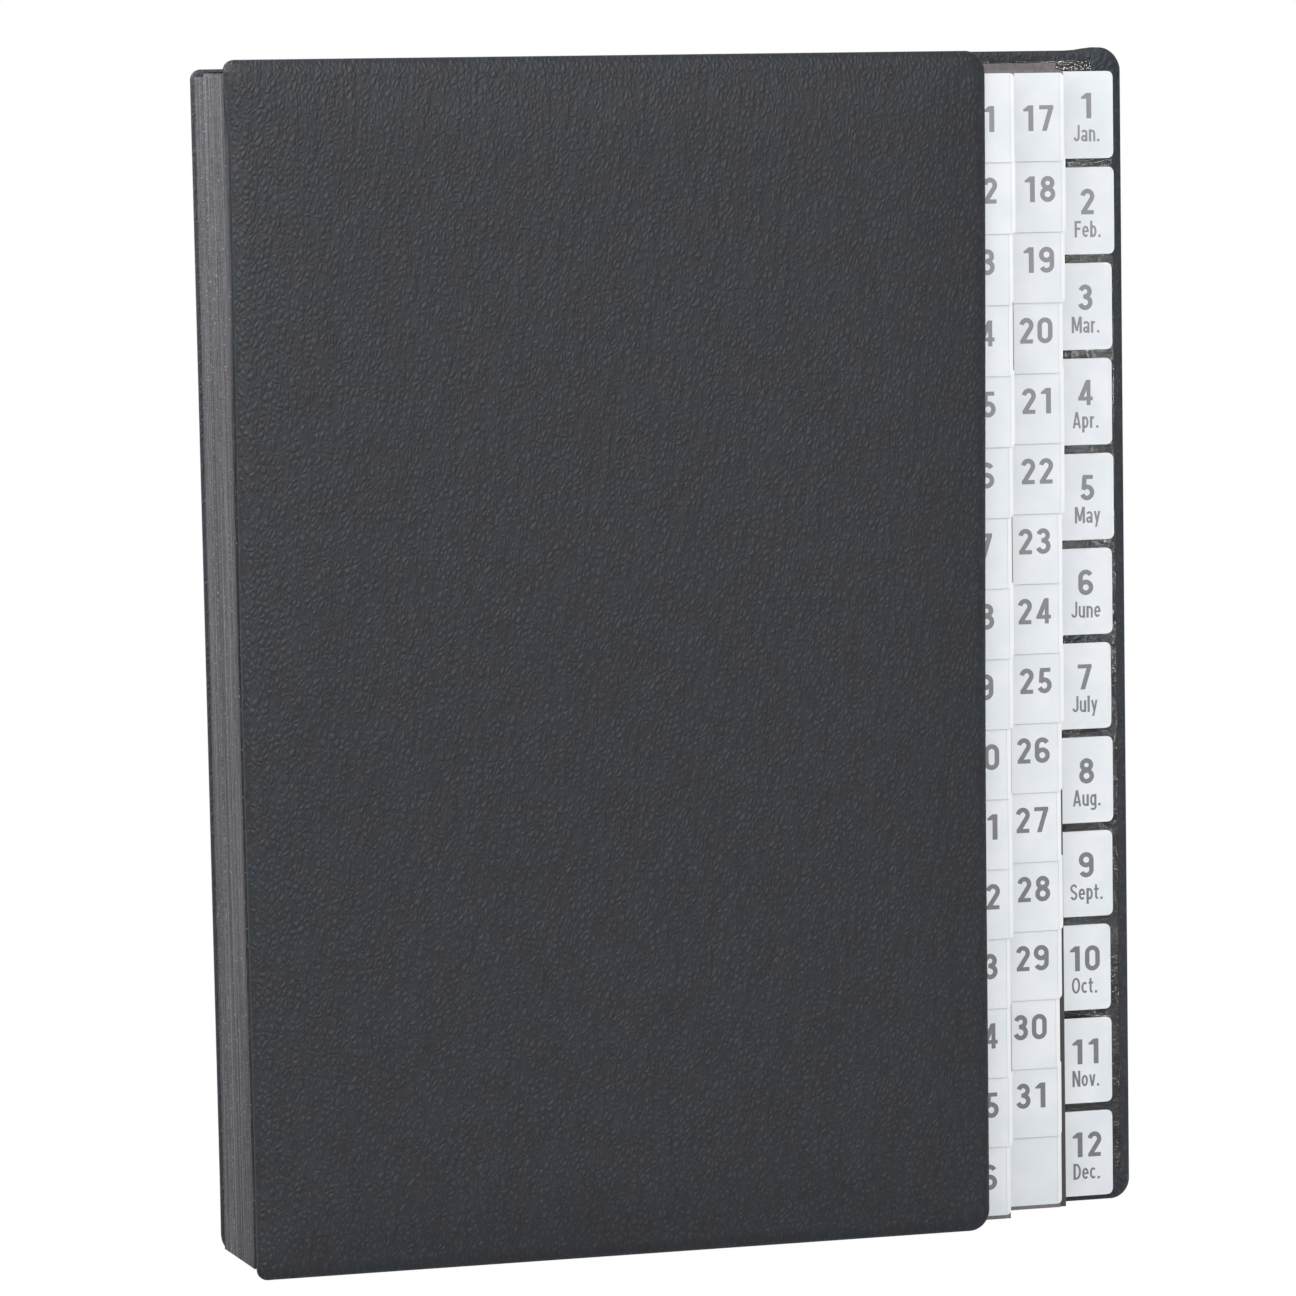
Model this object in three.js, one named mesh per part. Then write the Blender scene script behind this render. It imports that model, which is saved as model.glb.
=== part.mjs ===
// A desk sorter for A4 papers, standing upright: padded covers, an accordion spine of linen
// and staggered divider leaves with day tabs in two columns and month tabs in a third.
// Built with x from the spine to the fore edge, y from the front face to the back and z up,
// in millimetres, then centred on its foot.
import * as THREE from "three";

// Covers
const COVER_HEIGHT = 340;
const FRONT_COVER_WIDTH = 220;
const BACK_COVER_WIDTH = 277.5;
const FRONT_COVER_THICKNESS = 4.5;
const BACK_COVER_THICKNESS = 3;
const FORE_CORNER_RADIUS = 6;
const SPINE_CORNER_RADIUS = 3;
const BACK_HEEL_RADIUS = 7.5;
const INNER_EDGE_CHAMFER = 0.3;
const EDGE_FLAT = 1;
const EDGE_ROLL = 5;
const CROWN_RISE = 0.5;
const CROWN_REACH = 22;
const CORNER_STEPS = 5;
const CORNER_SOFTENING = 0.3;
const ROLL_STEPS = 5;

// Lining sheets, glued inside the covers over the turned-in edges
const LINING_THICKNESS = 0.25;
const LINING_MARGIN = 3;
const LINING_CORNER_RADIUS = 4;
const GLUE_LINE = 0.05;

// Divider leaves
const LEAF_THICKNESS = 0.35;
const LEAF_PITCH = 0.75;
const LEAF_FOOT = 0.4;
const LEAF_HEEL_LENGTH = 16;
const DAY_LEAF_DROP = 5.6;
const MONTH_LEAF_DROP = 3.6;
const COLUMN_BREAK = 0.5;

// Three columns of tabs, each a step nearer to the back cover's fore edge
const FORE_MARGIN = 6.3;
const COLUMN_STEP = 20;

// Day tabs: each leaf is cut back below its own tab, so the next one shows
const DAY_COLUMNS = 2;
const DAYS_PER_COLUMN = 16;
const COLUMN_OVERLAP = 1;
const FIRST_DAY_TAB_HEIGHT = 26.25;
const DAY_TAB_LOWEST = 1.4;
const DAY_TAB_RADIUS = 1.5;

// Month tabs: each one stands out by itself from a full-height leaf
const MONTHS = 12;
const MONTH_BODY_SHOW = 2.3;
const MONTH_TAB_HEAD = 2.6;
const MONTH_TAB_GAP = 2.7;
const MONTH_TAB_LOWEST = 1.7;
const MONTH_TAB_RADIUS = 2;
const TAB_CORNER_STEPS = 3;

// Hand cutting leaves each tab a little long or short
const CUT_WANDER = 0.4;
const CUT_WANDER_STEP = 1.9;

// Spine: one strip of linen, folded round the left edge of each leaf
const SPINE_SETBACK = 0.8;
const SPINE_FOOT = 3.1;
const SPINE_DROP = 4.4;
const PLEAT_DEPTH = 9;
const CLOTH_THICKNESS = 0.12;
const CLOTH_CLEARANCE = 0.03;
const RIDGE_LENGTH = 0.25;
const RIDGE_FLAT = 0.35;

// Room between the covers' linings and the first and last pleats
const BLOCK_CLEARANCE = 0.4;

// Places that follow from the sizes above
const dayLeaves = DAY_COLUMNS * DAYS_PER_COLUMN;
const leafTotal = dayLeaves + MONTHS;
const pleatHalf = LEAF_THICKNESS / 2 + CLOTH_CLEARANCE + CLOTH_THICKNESS;
const liningRoom = GLUE_LINE + LINING_THICKNESS + BLOCK_CLEARANCE;
const blockFront = FRONT_COVER_THICKNESS + liningRoom;
const blockBack = leafCentre(leafTotal - 1) + pleatHalf;
const backInner = blockBack + liningRoom;
const totalThickness = backInner + BACK_COVER_THICKNESS;
const pocketFloor = SPINE_SETBACK + CLOTH_THICKNESS;
const leafLeft = pocketFloor + RIDGE_LENGTH + CLOTH_CLEARANCE;
const spineTop = COVER_HEIGHT - SPINE_DROP;
const dayLeafTop = COVER_HEIGHT - DAY_LEAF_DROP;
const monthLeafTop = COVER_HEIGHT - MONTH_LEAF_DROP;
const dayTabRoom = dayLeafTop - FIRST_DAY_TAB_HEIGHT - DAY_TAB_LOWEST;
const dayTabPitch = dayTabRoom / (DAYS_PER_COLUMN - 1);
const monthTabRoom = monthLeafTop - MONTH_TAB_HEAD - MONTH_TAB_LOWEST;
const monthTabPitch = (monthTabRoom + MONTH_TAB_GAP) / MONTHS;
const monthTabHeight = monthTabPitch - MONTH_TAB_GAP;
const monthTabEdge = BACK_COVER_WIDTH - FORE_MARGIN;

// The middle of a leaf's thickness: a wider break parts the two day columns.
function leafCentre(index) {
  const gap = index >= DAYS_PER_COLUMN ? COLUMN_BREAK : 0;
  return blockFront + pleatHalf + index * LEAF_PITCH + gap;
}

// The fore edge of a day column, counted from the front.
function dayColumnEdge(column) {
  return monthTabEdge - (DAY_COLUMNS - column) * COLUMN_STEP;
}

const leatherette = new THREE.MeshStandardMaterial({ color: 0x3f4246, roughness: 0.55, metalness: 0 });
const liningSheet = new THREE.MeshStandardMaterial({ color: 0x26282b, roughness: 0.25, metalness: 0 });
const linen = new THREE.MeshStandardMaterial({ color: 0x5a5a60, roughness: 0.9, metalness: 0 });
const tabCard = new THREE.MeshStandardMaterial({ color: 0xe2e8ea, roughness: 0.4, metalness: 0 });

const book = new THREE.Group();
book.position.set(-BACK_COVER_WIDTH / 2, -totalThickness / 2, 0);

function addPiece(name, geometry, material) {
  const mesh = new THREE.Mesh(geometry, material);
  mesh.name = name;
  book.add(mesh);
  return mesh;
}

// A rectangle with rounded corners, drawn in by an inset, as points of x and z. The heel is
// the lower corner by the spine. All four corners grow softer inwards.
function roundedRing(box, inset, heelRadius) {
  const heel = heelRadius + inset * CORNER_SOFTENING;
  const spine = SPINE_CORNER_RADIUS + inset * CORNER_SOFTENING;
  const fore = FORE_CORNER_RADIUS + inset * CORNER_SOFTENING;
  const corners = [
    [box.right - inset - fore, box.foot + inset + fore, fore],
    [box.right - inset - fore, box.top - inset - fore, fore],
    [box.left + inset + spine, box.top - inset - spine, spine],
    [box.left + inset + heel, box.foot + inset + heel, heel],
  ];
  const points = [];
  corners.forEach(([x, z, radius], quarter) => {
    for (let step = 0; step <= CORNER_STEPS; step += 1) {
      const angle = (quarter - 1 + step / CORNER_STEPS) * (Math.PI / 2);
      points.push([x + radius * Math.cos(angle), z + radius * Math.sin(angle)]);
    }
  });
  return points;
}

// A closed skin over rings of equal length, from the inner face outwards. Each ring has its
// own depth y, and the first and last are closed by a flat face round their middle.
function loftRings(rings) {
  const positions = [];
  const indices = [];
  const count = rings[0].points.length;
  for (const ring of rings) {
    for (const [x, z] of ring.points) positions.push(x, ring.y, z);
  }
  for (let level = 0; level + 1 < rings.length; level += 1) {
    for (let at = 0; at < count; at += 1) {
      const next = (at + 1) % count;
      const a = level * count + at;
      const b = level * count + next;
      indices.push(a, b, b + count, a, b + count, a + count);
    }
  }
  const closeFace = (level, flipped) => {
    const ring = rings[level];
    const middle = positions.length / 3;
    const sum = ring.points.reduce(([sx, sz], [x, z]) => [sx + x, sz + z], [0, 0]);
    positions.push(sum[0] / count, ring.y, sum[1] / count);
    for (let at = 0; at < count; at += 1) {
      const a = level * count + at;
      const b = level * count + ((at + 1) % count);
      if (flipped) indices.push(middle, a, b);
      else indices.push(middle, b, a);
    }
  };
  closeFace(0, false);
  closeFace(rings.length - 1, true);
  const geometry = new THREE.BufferGeometry();
  geometry.setAttribute("position", new THREE.Float32BufferAttribute(positions, 3));
  geometry.setIndex(indices);
  geometry.computeVertexNormals();
  return geometry;
}

// A padded cover: a flat inner face, a narrow straight edge to stand on, then the padding's
// roll round the edge and a low crown towards the middle of the outer face.
// inner is the y of the inner face and outward is -1 at the front and 1 at the back.
function paddedCover(width, thickness, inner, outward, heelRadius) {
  const box = { left: 0, right: width, foot: 0, top: COVER_HEIGHT };
  const ringAt = (inset, depth) => ({
    points: roundedRing(box, inset, heelRadius),
    y: inner + outward * depth,
  });
  const rollStart = INNER_EDGE_CHAMFER + EDGE_FLAT;
  const rollRise = thickness - CROWN_RISE - rollStart;
  const rings = [ringAt(INNER_EDGE_CHAMFER, 0), ringAt(0, INNER_EDGE_CHAMFER)];
  for (let step = 0; step <= ROLL_STEPS; step += 1) {
    const angle = (step / ROLL_STEPS) * (Math.PI / 2);
    rings.push(ringAt(EDGE_ROLL * (1 - Math.cos(angle)), rollStart + rollRise * Math.sin(angle)));
  }
  rings.push(ringAt((EDGE_ROLL + CROWN_REACH) / 2, thickness - CROWN_RISE / 3));
  rings.push(ringAt(CROWN_REACH, thickness));
  if (outward > 0) {
    for (const ring of rings) ring.points.reverse();
  }
  return loftRings(rings);
}

// A sheet with rounded corners, lying in an upright plane from y to y + thickness.
function uprightSheet(shape, y, thickness, curveSteps) {
  const geometry = new THREE.ExtrudeGeometry(shape, {
    depth: thickness,
    bevelEnabled: false,
    curveSegments: curveSteps,
  });
  geometry.rotateX(Math.PI / 2);
  geometry.translate(0, y + thickness, 0);
  return geometry;
}

// A straight-sided outline in x and z whose corners may be rounded: each corner is x, z and
// a radius.
function roundedOutline(corners) {
  const shape = new THREE.Shape();
  corners.forEach(([x, z, radius], at) => {
    const before = corners[(at + corners.length - 1) % corners.length];
    const after = corners[(at + 1) % corners.length];
    const corner = new THREE.Vector2(x, z);
    const towards = (point) =>
      new THREE.Vector2(point[0] - x, point[1] - z).setLength(radius).add(corner);
    const arrive = radius ? towards(before) : corner;
    if (at === 0) shape.moveTo(arrive.x, arrive.y);
    else shape.lineTo(arrive.x, arrive.y);
    if (radius) {
      const leave = towards(after);
      shape.quadraticCurveTo(x, z, leave.x, leave.y);
    }
  });
  shape.closePath();
  return shape;
}

function liningShape(width) {
  const right = width - LINING_MARGIN;
  const top = COVER_HEIGHT - LINING_MARGIN;
  return roundedOutline([
    [LINING_MARGIN, LINING_MARGIN, 0],
    [right, LINING_MARGIN, LINING_CORNER_RADIUS],
    [right, top, LINING_CORNER_RADIUS],
    [LINING_MARGIN, top, 0],
  ]);
}

// A small cutting error, different for each leaf.
function wander(index) {
  return CUT_WANDER * Math.sin(CUT_WANDER_STEP * index);
}

// The lower edge of a leaf by the spine, cut on a slant up to the foot of the cloth.
function leafHeel() {
  return [
    [leafLeft, SPINE_FOOT, 0],
    [leafLeft + LEAF_HEEL_LENGTH, LEAF_FOOT, 0],
  ];
}

// A day leaf runs the full height at the spine, and at its column from the top down to the
// lower edge of its tab. The last leaf of a column isn't cut back at all.
function dayLeafShape(index) {
  const column = Math.floor(index / DAYS_PER_COLUMN);
  const row = index % DAYS_PER_COLUMN;
  const right = dayColumnEdge(column) + wander(index);
  const cutBack = dayColumnEdge(column) - COLUMN_STEP - COLUMN_OVERLAP;
  const tabFoot = DAY_TAB_LOWEST + (DAYS_PER_COLUMN - 1 - row) * dayTabPitch;
  const upper = [
    [right, dayLeafTop, DAY_TAB_RADIUS],
    [leafLeft, dayLeafTop, 0],
  ];
  if (row === DAYS_PER_COLUMN - 1) {
    return roundedOutline([...leafHeel(), [right, LEAF_FOOT, 0], ...upper]);
  }
  return roundedOutline([
    ...leafHeel(),
    [cutBack, LEAF_FOOT, 0],
    [cutBack, tabFoot, 0],
    [right, tabFoot, DAY_TAB_RADIUS],
    ...upper,
  ]);
}

// A month leaf is a full-height card with one tab that stands out past the day columns.
function monthLeafShape(month) {
  const right = monthTabEdge + wander(month);
  const bodyEdge = dayColumnEdge(DAY_COLUMNS - 1) + MONTH_BODY_SHOW;
  const tabFoot = MONTH_TAB_LOWEST + (MONTHS - 1 - month) * monthTabPitch;
  const tabTop = tabFoot + monthTabHeight;
  return roundedOutline([
    ...leafHeel(),
    [bodyEdge, LEAF_FOOT, 0],
    [bodyEdge, tabFoot, 0],
    [right, tabFoot, MONTH_TAB_RADIUS],
    [right, tabTop, MONTH_TAB_RADIUS],
    [bodyEdge, tabTop, 0],
    [bodyEdge, monthLeafTop, 0],
    [leafLeft, monthLeafTop, 0],
  ]);
}

// The pleated strip seen from above. Its outer side goes round each leaf's edge in a narrow
// ridge and back in to a valley between two leaves, and its inner side keeps one cloth
// thickness inside that.
function spineShape() {
  const outer = [];
  const inner = [];
  const valley = SPINE_SETBACK + PLEAT_DEPTH;
  const pocket = pleatHalf - CLOTH_THICKNESS;
  for (let index = 0; index < leafTotal; index += 1) {
    const y = leafCentre(index);
    const ridgeFlat = pleatHalf * RIDGE_FLAT;
    const pocketFlat = pocket * RIDGE_FLAT;
    outer.push([valley - CLOTH_THICKNESS, y - pleatHalf]);
    outer.push([SPINE_SETBACK + RIDGE_LENGTH, y - pleatHalf]);
    outer.push([SPINE_SETBACK, y - ridgeFlat]);
    outer.push([SPINE_SETBACK, y + ridgeFlat]);
    outer.push([SPINE_SETBACK + RIDGE_LENGTH, y + pleatHalf]);
    outer.push([valley - CLOTH_THICKNESS, y + pleatHalf]);
    inner.push([valley, y - pocket]);
    inner.push([pocketFloor + RIDGE_LENGTH, y - pocket]);
    inner.push([pocketFloor, y - pocketFlat]);
    inner.push([pocketFloor, y + pocketFlat]);
    inner.push([pocketFloor + RIDGE_LENGTH, y + pocket]);
    inner.push([valley, y + pocket]);
  }
  const outline = [...outer, ...inner.reverse()];
  return new THREE.Shape(outline.map(([x, y]) => new THREE.Vector2(x, y)));
}

function spineGeometry() {
  const geometry = new THREE.ExtrudeGeometry(spineShape(), {
    depth: spineTop - SPINE_FOOT,
    bevelEnabled: false,
  });
  geometry.translate(0, 0, SPINE_FOOT);
  return geometry;
}

addPiece(
  "front_cover",
  paddedCover(
    FRONT_COVER_WIDTH,
    FRONT_COVER_THICKNESS,
    FRONT_COVER_THICKNESS,
    -1,
    SPINE_CORNER_RADIUS,
  ),
  leatherette,
);
addPiece(
  "back_cover",
  paddedCover(BACK_COVER_WIDTH, BACK_COVER_THICKNESS, backInner, 1, BACK_HEEL_RADIUS),
  leatherette,
);
addPiece(
  "front_lining",
  uprightSheet(
    liningShape(FRONT_COVER_WIDTH),
    FRONT_COVER_THICKNESS + GLUE_LINE,
    LINING_THICKNESS,
    CORNER_STEPS,
  ),
  liningSheet,
);
addPiece(
  "back_lining",
  uprightSheet(
    liningShape(BACK_COVER_WIDTH),
    backInner - GLUE_LINE - LINING_THICKNESS,
    LINING_THICKNESS,
    CORNER_STEPS,
  ),
  liningSheet,
);
addPiece("spine", spineGeometry(), linen);

for (let index = 0; index < leafTotal; index += 1) {
  const isDay = index < dayLeaves;
  const isBlank = index === dayLeaves - 1;
  const number = String(isDay ? index + 1 : index + 1 - dayLeaves).padStart(2, "0");
  const name = isBlank ? "divider_blank" : `divider_${isDay ? "day" : "month"}_${number}`;
  const shape = isDay ? dayLeafShape(index) : monthLeafShape(index - dayLeaves);
  const y = leafCentre(index) - LEAF_THICKNESS / 2;
  addPiece(name, uprightSheet(shape, y, LEAF_THICKNESS, TAB_CORNER_STEPS), tabCard);
}

export default book;
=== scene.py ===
# Looks of a desk sorter: padded leather-look covers, a pleated linen spine, glossy linings
# and 44 divider leaves with white laminated tabs, lit and framed as in the photograph.
import math

import bmesh
import bpy
from mathutils import Matrix, Vector, noise


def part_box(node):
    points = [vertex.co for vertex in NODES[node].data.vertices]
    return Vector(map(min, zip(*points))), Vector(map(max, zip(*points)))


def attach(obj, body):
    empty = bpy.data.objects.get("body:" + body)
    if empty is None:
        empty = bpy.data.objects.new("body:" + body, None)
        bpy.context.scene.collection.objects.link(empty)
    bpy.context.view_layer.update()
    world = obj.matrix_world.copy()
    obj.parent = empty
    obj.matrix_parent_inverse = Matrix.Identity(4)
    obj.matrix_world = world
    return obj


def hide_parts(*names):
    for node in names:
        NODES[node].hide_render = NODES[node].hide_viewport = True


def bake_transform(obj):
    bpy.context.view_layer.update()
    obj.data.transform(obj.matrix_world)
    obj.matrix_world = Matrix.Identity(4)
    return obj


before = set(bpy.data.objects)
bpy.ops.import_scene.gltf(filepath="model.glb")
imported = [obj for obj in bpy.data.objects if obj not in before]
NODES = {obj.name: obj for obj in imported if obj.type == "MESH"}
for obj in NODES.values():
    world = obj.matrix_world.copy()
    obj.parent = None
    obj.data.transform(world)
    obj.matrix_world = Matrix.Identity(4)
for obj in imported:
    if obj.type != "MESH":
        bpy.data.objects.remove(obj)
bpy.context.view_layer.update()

MM = 0.001

# Camera, from a fit to the corners of both covers
PHOTO_WIDTH = 1296
FOCAL_PIXELS = 6500
SENSOR_WIDTH = 36
CAMERA_PLACE = (-0.57025, -1.76445, 0.3268)
CAMERA_YAW = 17.475
CAMERA_PITCH = 4.802
CAMERA_ROLL = -0.837

# Floor and light from all round
FLOOR_REACH = 6.0
FLOOR_DROP = 0.2 * MM
FLOOR_GLOW = 1.03
GLOW_SHARE = 0.96
SOFT_LIGHT = 0.74

# Covers: their corners, and the steps of their skins along a side and round a corner
COVER_SPINE_RADIUS = 3 * MM
COVER_FORE_RADIUS = 6 * MM
BACK_HEEL_RADIUS = 7.5 * MM
CORNER_SOFTENING = 0.3
SIDE_STEP = 3 * MM
CORNER_STEPS = 24

# Padding: the insets of the rings of a cover's skin in millimetres, over its inner face to
# the edge and from there to the crown, and the depths that they reach
INNER_INSETS = (30, 14, 9, 6, 4.5, 3.2, 2.4, 1.7, 1.1, 0.6, 0.25)
OUTER_INSETS = (0.0, 0.15, 0.4, 0.8, 1.3, 1.9, 2.6, 3.4, 4.4, 5.5, 7, 9, 11.5, 14.5, 18, 22, 26, 30)
INSET_STEP = 4
INNER_ROLL = 0.3 * MM
EDGE_DEPTH = 0.55 * MM
SKIN_FLAT = 1.3 * MM
SKIN_ROLL = 5.5 * MM
CROWN_REACH = 24 * MM
CROWN_SHARE = 0.24
BROAD_WAVE = 75 * MM
BROAD_SWAY = 0.16 * MM
SMALL_WAVE = 20 * MM
SMALL_SWAY = 0.05 * MM
FOLD_REACH = 13 * MM
FOLD_HEIGHT = 0.9 * MM
FOLDS_PER_RADIAN = 5.5
MERGE_DISTANCE = 0.002 * MM

# How the covers and the spine stand out of true, as in the photograph
COVER_TOP = 0.34
LEAN_START = 0.02
SPINE_LEAN = 2.2 * MM
SPINE_CUTS = (0.07, 0.12, 0.17, 0.22, 0.27, 0.31)
LIP_FLARE = 2.0 * MM
LEFT_FOOT_TUCK = 1.2 * MM
RIGHT_TOP_SPREAD = 1.5 * MM
RIGHT_FOOT_TUCK = 0.6 * MM
BACK_TOP_SAG = 2.3 * MM
BACK_CORNER_BULGE = 0.9 * MM

# Linen strips of the hinges: how far their points stand from the fold, and the share of the
# room between pleat and lining that they leave free on each side
STRIP_REACHES = (8 * MM, 4 * MM, 0.5 * MM)
STRIP_CLEARANCE = 0.22
STRIP_FOLD = 0.1 * MM
STRIP_ROWS = 40
STRIP_THICKNESS = 0.05 * MM

# Tabs
TAB_FILM = 0.03 * MM
TAB_FILM_EDGE = 0.06 * MM
TAB_WIDTH = 19 * MM
TAB_MARGIN = 1.2 * MM
FILM_OVERHANG = 0.4 * MM
TAB_LINE = 0.14 * MM
TAB_OVERLAP = 1.5 * MM
DAY_TAB_RADIUS = 1.5 * MM
MONTH_TAB_RADIUS = 2 * MM
DAYS_PER_COLUMN = 16
DAY_LEAVES = 32
LAST_TAB_LIFT = 1.1 * MM
FIRST_TAB_DROP = 0.9 * MM
DAY_TAB_PITCH = 20.45 * MM

# Where painted shade darkens the card beside the day tabs, in millimetres of x and z
CARD_SLIVER = (111.4, 111.9)
CARD_SLIVER_TOP = (318, 332)

# Print on the tabs: heights, and places from the tab's fore edge, foot or top
NUMBER_HEIGHT = 7.4 * MM
WORD_HEIGHT = 4.8 * MM
DAY_NUMBER_INSET = 7.6 * MM
DAY_NUMBER_DRIFT = 0.1 * MM
DAY_NUMBER_RISE = 12.4 * MM
LAST_NUMBER_RISE = 11.4 * MM
MONTH_PRINT_INSET = 8.3 * MM
MONTH_NUMBER_DROP = 13.7 * MM
MONTH_WORD_DROP = 20.4 * MM
PRINT_LIFT = 0.02 * MM
MONTH_NAMES = (
    "Jan.", "Feb.", "Mar.", "Apr.", "May", "June",
    "July", "Aug.", "Sept.", "Oct.", "Nov.", "Dec.",
)


# Colours are given as they look on a screen, from 0 to 255
def linear(red, green, blue):
    def channel(value):
        share = value / 255
        if share <= 0.04045:
            return share / 12.92
        return ((share + 0.055) / 1.055) ** 2.4

    return (channel(red), channel(green), channel(blue), 1.0)


# A short way to write material nodes
class Nodes:
    def __init__(self, name):
        self.material = bpy.data.materials.new(name)
        self.material.use_nodes = True
        self.tree = self.material.node_tree
        self.tree.nodes.clear()
        self.output = self.add("ShaderNodeOutputMaterial")
        self.shader = self.add("ShaderNodeBsdfPrincipled")
        self.link(self.shader.outputs["BSDF"], self.output.inputs["Surface"])

    def add(self, kind, **settings):
        node = self.tree.nodes.new(kind)
        for key, value in settings.items():
            setattr(node, key, value)
        return node

    def link(self, source, target):
        self.tree.links.new(source, target)

    # A number or a colour goes straight on a socket, and an output is linked to it
    def put(self, value, socket):
        if isinstance(value, (int, float, tuple)):
            socket.default_value = value
        else:
            self.link(value, socket)

    # Object coordinates, turned back by some degrees and then multiplied by a scale
    def place(self, scale, turn=(0, 0, 0)):
        coordinates = self.add("ShaderNodeTexCoord")
        mapping = self.add("ShaderNodeMapping", vector_type="TEXTURE")
        mapping.inputs["Scale"].default_value = [1 / factor for factor in scale]
        mapping.inputs["Rotation"].default_value = [math.radians(angle) for angle in turn]
        self.link(coordinates.outputs["Object"], mapping.inputs["Vector"])
        return mapping.outputs["Vector"]

    def noise(self, vector, scale, detail=2.0, roughness=0.5):
        texture = self.add("ShaderNodeTexNoise")
        texture.inputs["Scale"].default_value = scale
        texture.inputs["Detail"].default_value = detail
        texture.inputs["Roughness"].default_value = roughness
        self.link(vector, texture.inputs["Vector"])
        return texture

    def cells(self, vector, scale, feature="DISTANCE_TO_EDGE"):
        texture = self.add("ShaderNodeTexVoronoi", feature=feature)
        texture.inputs["Scale"].default_value = scale
        self.link(vector, texture.inputs["Vector"])
        return texture.outputs["Distance"]

    def warp(self, vector, scale, amount):
        shift = self.noise(vector, scale, 2)
        centred = self.add("ShaderNodeVectorMath", operation="SUBTRACT")
        centred.inputs[1].default_value = (0.5, 0.5, 0.5)
        self.link(shift.outputs["Color"], centred.inputs[0])
        scaled = self.add("ShaderNodeVectorMath", operation="SCALE")
        scaled.inputs["Scale"].default_value = amount
        self.link(centred.outputs["Vector"], scaled.inputs[0])
        total = self.add("ShaderNodeVectorMath", operation="ADD")
        self.link(vector, total.inputs[0])
        self.link(scaled.outputs["Vector"], total.inputs[1])
        return total.outputs["Vector"]

    def remap(self, value, low, high, to_low=0.0, to_high=1.0, smooth=True):
        node = self.add("ShaderNodeMapRange")
        node.interpolation_type = "SMOOTHSTEP" if smooth else "LINEAR"
        node.inputs["From Min"].default_value = low
        node.inputs["From Max"].default_value = high
        node.inputs["To Min"].default_value = to_low
        node.inputs["To Max"].default_value = to_high
        self.link(value, node.inputs["Value"])
        return node.outputs["Result"]

    def math(self, operation, first, second):
        node = self.add("ShaderNodeMath", operation=operation)
        for socket, value in zip(node.inputs, (first, second)):
            self.put(value, socket)
        return node.outputs["Value"]

    def mix(self, factor, first, second):
        node = self.add("ShaderNodeMix", data_type="RGBA")
        for name, value in (("Factor", factor), ("A", first), ("B", second)):
            self.put(value, next(s for s in node.inputs if s.name == name and s.enabled))
        return next(s for s in node.outputs if s.enabled)

    def bump(self, height, distance, strength=1.0):
        node = self.add("ShaderNodeBump")
        node.inputs["Distance"].default_value = distance
        node.inputs["Strength"].default_value = strength
        self.link(height, node.inputs["Height"])
        self.link(node.outputs["Normal"], self.shader.inputs["Normal"])

    def surface(self, color, roughness, specular, sheen=0.0):
        self.put(color, self.shader.inputs["Base Color"])
        self.put(roughness, self.shader.inputs["Roughness"])
        self.put(specular, self.shader.inputs["Specular IOR Level"])
        self.put(sheen, self.shader.inputs["Sheen Weight"])


# Black leather-look sheet: low pebbles of about 1.4 mm, leaning and drawn out upwards, with longer
# wrinkles over them, a slow change of tint over the whole cover, and painted shade in the hollow
# creases of the skin
def leatherette_material(name, dark, light):
    nodes = Nodes(name)
    slanted = nodes.place((1000, 1000, 600), (0, 10, 0))
    warped = nodes.warp(slanted, 0.3, 1.6)
    pebbles = nodes.remap(nodes.cells(warped, 0.72), 0.0, 0.5)
    small = nodes.remap(nodes.cells(nodes.warp(slanted, 0.9, 0.7), 2.0, "F1"), 0.05, 0.7, 1.0, 0.0)
    wrinkles = nodes.noise(nodes.place((1000, 1000, 240), (0, 6, 0)), 0.6, 2, 0.5)
    height = nodes.math("ADD", nodes.math("MULTIPLY", pebbles, 0.5),
                        nodes.math("MULTIPLY", small, 0.08))
    height = nodes.math("ADD", height,
                        nodes.math("MULTIPLY", wrinkles.outputs["Fac"], 0.75))
    tone = nodes.remap(height, 0.2, 0.9, 0.0, 1.0, smooth=False)
    color = nodes.mix(tone, dark, light)
    broad = nodes.noise(nodes.place((1000, 1000, 1000)), 0.09, 3)
    tints = nodes.mix(nodes.remap(broad.outputs["Fac"], 0.42, 0.58), linear(38, 37, 45),
                      linear(31, 40, 48))
    color = nodes.mix(0.4, color, tints)
    # Painted shade in the hollow creases of the skin, found by the mesh's pointiness
    bend = nodes.add("ShaderNodeNewGeometry").outputs["Pointiness"]
    color = nodes.mix(nodes.remap(bend, 0.44, 0.49, 0.7, 0.0), color, linear(12, 12, 14))
    nodes.surface(color, 0.52, 0.25)
    nodes.bump(height, 0.44 * MM, 0.8)
    return nodes.material


# Glossy black lining sheet with a fine pressed grain
def lining_material():
    nodes = Nodes("glossy_lining")
    place = nodes.place((1000, 1000, 1000))
    grain = nodes.cells(nodes.warp(place, 0.8, 0.7), 1.3)
    height = nodes.remap(grain, 0.0, 0.35)
    fine = nodes.noise(place, 2.2, 2)
    height = nodes.math("ADD", height, nodes.math("MULTIPLY", fine.outputs["Fac"], 1.2))
    nodes.surface(nodes.mix(height, linear(8, 8, 9), linear(14, 14, 15)), 0.09, 0.25)
    nodes.bump(height, 0.085 * MM, 0.8)
    return nodes.material
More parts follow.
